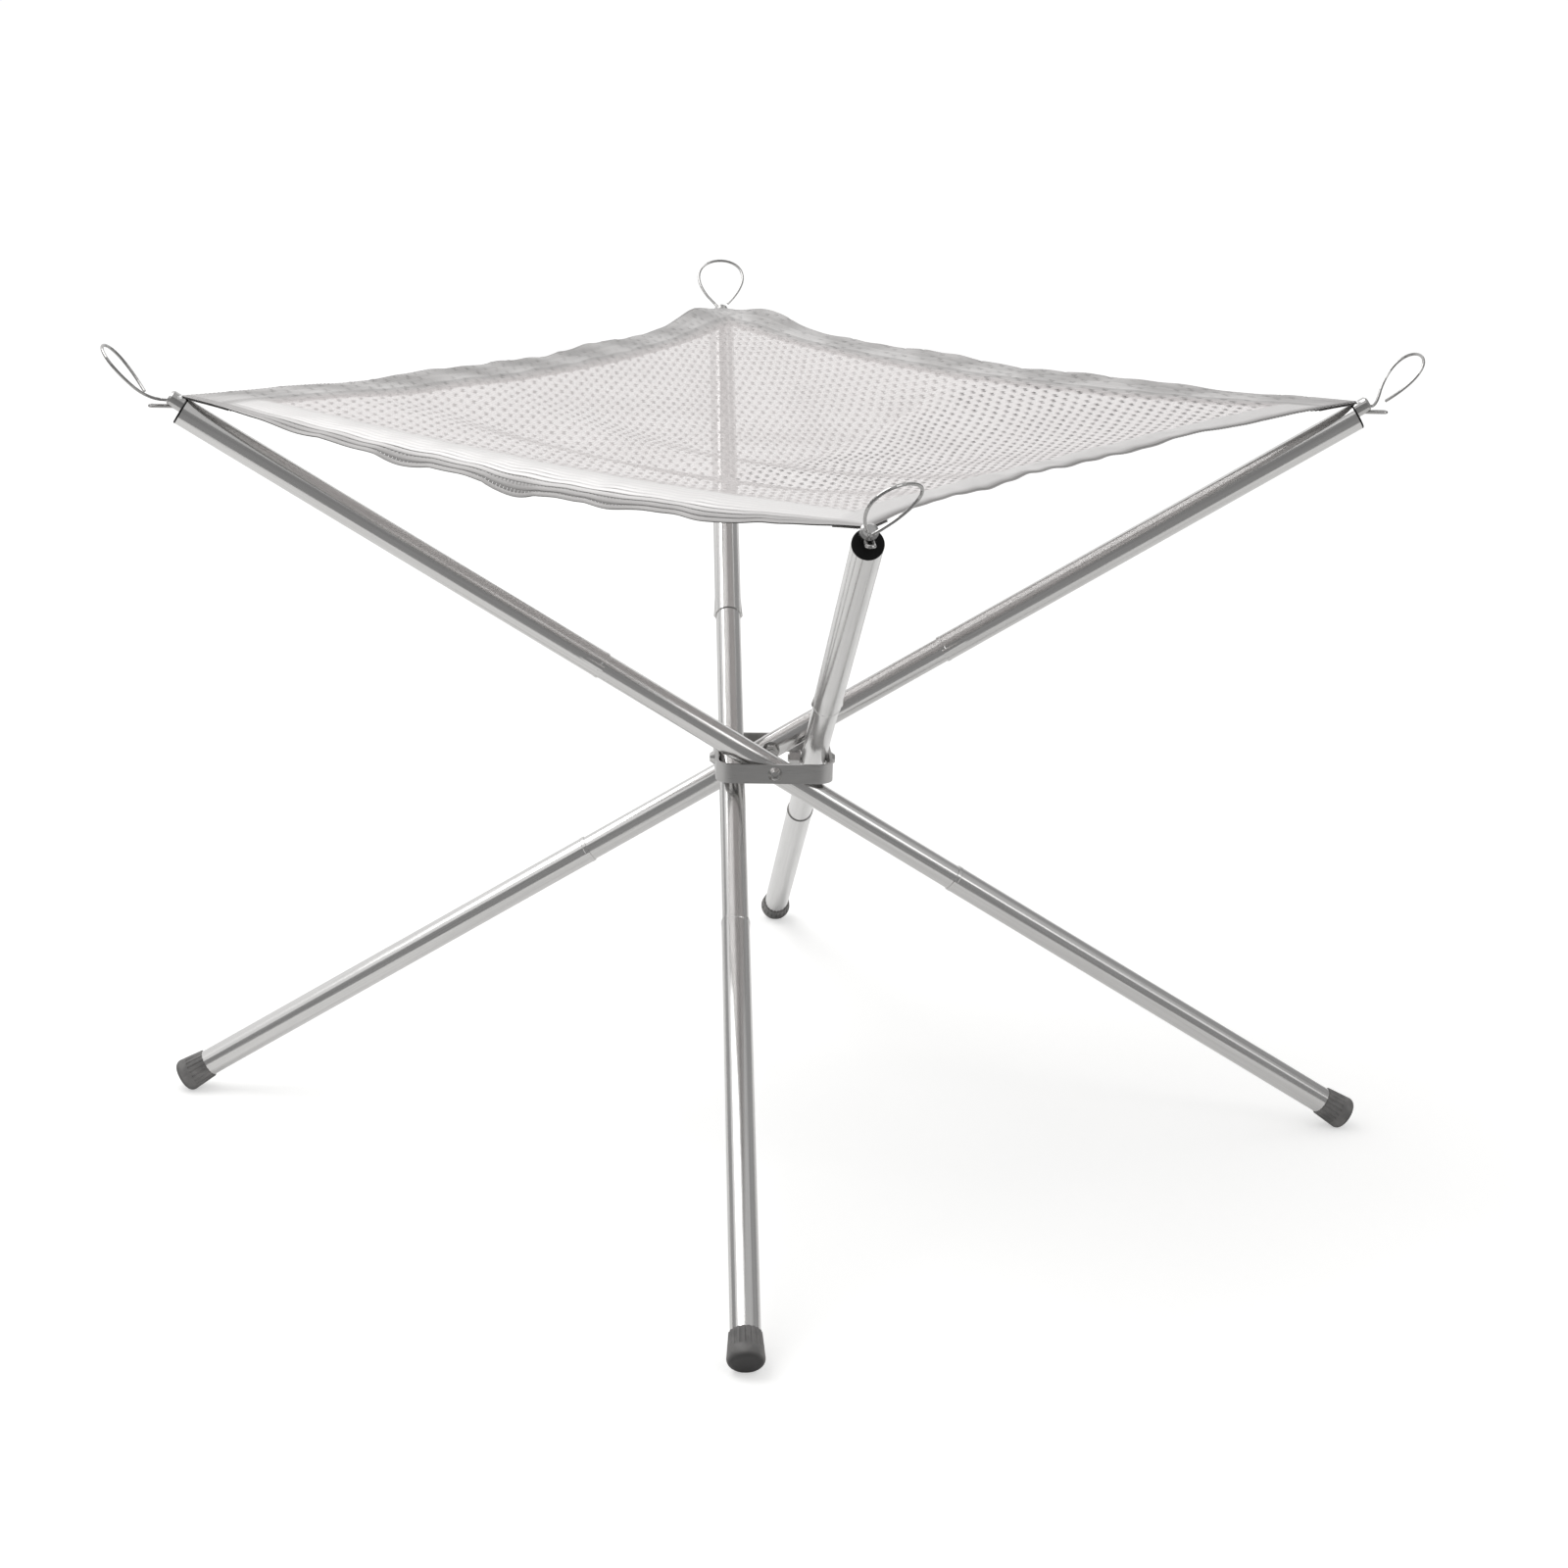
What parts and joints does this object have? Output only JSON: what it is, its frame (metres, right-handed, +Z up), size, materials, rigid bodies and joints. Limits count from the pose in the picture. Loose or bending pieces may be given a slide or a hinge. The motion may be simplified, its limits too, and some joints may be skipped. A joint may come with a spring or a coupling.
{
  "type": "folding fire pit",
  "caption": "Folding camp fire pit: crossed telescopic steel tube legs pivot in a square hub ring and hold a sagging square of woven wire cloth by corner studs with wire pull loops.",
  "frame": {"origin": "on the floor, below the middle of the hub ring", "axes": "+Z up; the legs lie in planes square to X and Y, and the slack edge of the cloth faces -X and -Y"},
  "size_m": [0.663, 0.6582, 0.4067],
  "materials": {
    "tube_steel": "polished",
    "hub_steel": "satin",
    "fastener_steel": "satin",
    "wire_steel": "drawn wire",
    "wire_cloth": "woven",
    "rubber": "moulded matt",
    "black_plastic": "moulded satin",
    "nylon": "moulded matt"
  },
  "bodies": {
    "hub": {"hub_ring": "hub_steel", "pivot_bolts": "fastener_steel", "pivot_washers": "fastener_steel", "lock_nuts": "fastener_steel"},
    "leg_1": {"middle_tube_1": "tube_steel", "slide_bushes_1": "nylon"},
    "upper_leg_1": {"upper_tube_1": "tube_steel", "end_plug_1": "black_plastic"},
    "lower_leg_1": {"lower_tube_1": "tube_steel", "rubber_tip_1": "rubber"},
    "leg_2": {"middle_tube_2": "tube_steel", "slide_bushes_2": "nylon"},
    "upper_leg_2": {"upper_tube_2": "tube_steel", "end_plug_2": "black_plastic"},
    "lower_leg_2": {"lower_tube_2": "tube_steel", "rubber_tip_2": "rubber"},
    "leg_3": {"middle_tube_3": "tube_steel", "slide_bushes_3": "nylon"},
    "upper_leg_3": {"upper_tube_3": "tube_steel", "end_plug_3": "black_plastic"},
    "lower_leg_3": {"lower_tube_3": "tube_steel", "rubber_tip_3": "rubber"},
    "leg_4": {"middle_tube_4": "tube_steel", "slide_bushes_4": "nylon"},
    "upper_leg_4": {"upper_tube_4": "tube_steel", "end_plug_4": "black_plastic"},
    "lower_leg_4": {"lower_tube_4": "tube_steel", "rubber_tip_4": "rubber"},
    "fire_bed": {"wire_cloth": "wire_cloth", "corner_stud_1": "fastener_steel", "corner_stud_2": "fastener_steel", "corner_stud_3": "fastener_steel", "corner_stud_4": "fastener_steel", "pull_loop_1": "wire_steel", "pull_loop_2": "wire_steel", "pull_loop_3": "wire_steel", "pull_loop_4": "wire_steel", "corner_hook_1": "wire_steel", "corner_hook_2": "wire_steel", "corner_hook_3": "wire_steel", "corner_hook_4": "wire_steel"}
  },
  "joints": [
    {"name": "leg_1_fold", "type": "hinge", "parent": "hub", "child": "leg_1", "pos_m": [0, -0.02113, 0.19441], "axis": [0, 1, 0], "range_deg": [0, 58.7]},
    {"name": "leg_2_fold", "type": "hinge", "parent": "hub", "child": "leg_2", "pos_m": [0.02113, 0, 0.19441], "axis": [-1, 0, 0], "range_deg": [0, 58.7]},
    {"name": "leg_3_fold", "type": "hinge", "parent": "hub", "child": "leg_3", "pos_m": [0, 0.02113, 0.19441], "axis": [0, -1, 0], "range_deg": [0, 58.7]},
    {"name": "leg_4_fold", "type": "hinge", "parent": "hub", "child": "leg_4", "pos_m": [-0.02113, 0, 0.19441], "axis": [1, 0, 0], "range_deg": [0, 58.7]},
    {"name": "upper_leg_1_slide", "type": "slide", "parent": "leg_1", "child": "upper_leg_1", "axis": [0.8545, 0, -0.5195], "range_m": [0, 0.066]},
    {"name": "lower_leg_1_slide", "type": "slide", "parent": "leg_1", "child": "lower_leg_1", "axis": [-0.8545, 0, 0.5195], "range_m": [0, 0.07]},
    {"name": "upper_leg_2_slide", "type": "slide", "parent": "leg_2", "child": "upper_leg_2", "axis": [0, 0.8545, -0.5195], "range_m": [0, 0.066]},
    {"name": "lower_leg_2_slide", "type": "slide", "parent": "leg_2", "child": "lower_leg_2", "axis": [0, -0.8545, 0.5195], "range_m": [0, 0.07]},
    {"name": "upper_leg_3_slide", "type": "slide", "parent": "leg_3", "child": "upper_leg_3", "axis": [-0.8545, 0, -0.5195], "range_m": [0, 0.066]},
    {"name": "lower_leg_3_slide", "type": "slide", "parent": "leg_3", "child": "lower_leg_3", "axis": [0.8545, 0, 0.5195], "range_m": [0, 0.07]},
    {"name": "upper_leg_4_slide", "type": "slide", "parent": "leg_4", "child": "upper_leg_4", "axis": [0, -0.8545, -0.5195], "range_m": [0, 0.066]},
    {"name": "lower_leg_4_slide", "type": "slide", "parent": "leg_4", "child": "lower_leg_4", "axis": [0, 0.8545, 0.5195], "range_m": [0, 0.07]},
    {"name": "fire_bed_lift", "type": "slide", "parent": "hub", "child": "fire_bed", "axis": [0, 0, 1], "range_m": [0, 0.416]}
  ],
  "couplings": [
    {"joint": "leg_2_fold", "follows": "leg_1_fold", "ratio": 1},
    {"joint": "leg_3_fold", "follows": "leg_1_fold", "ratio": 1},
    {"joint": "leg_4_fold", "follows": "leg_1_fold", "ratio": 1},
    {"joint": "fire_bed_lift", "follows": "leg_1_fold", "m_per_rad": 0.406}
  ]
}
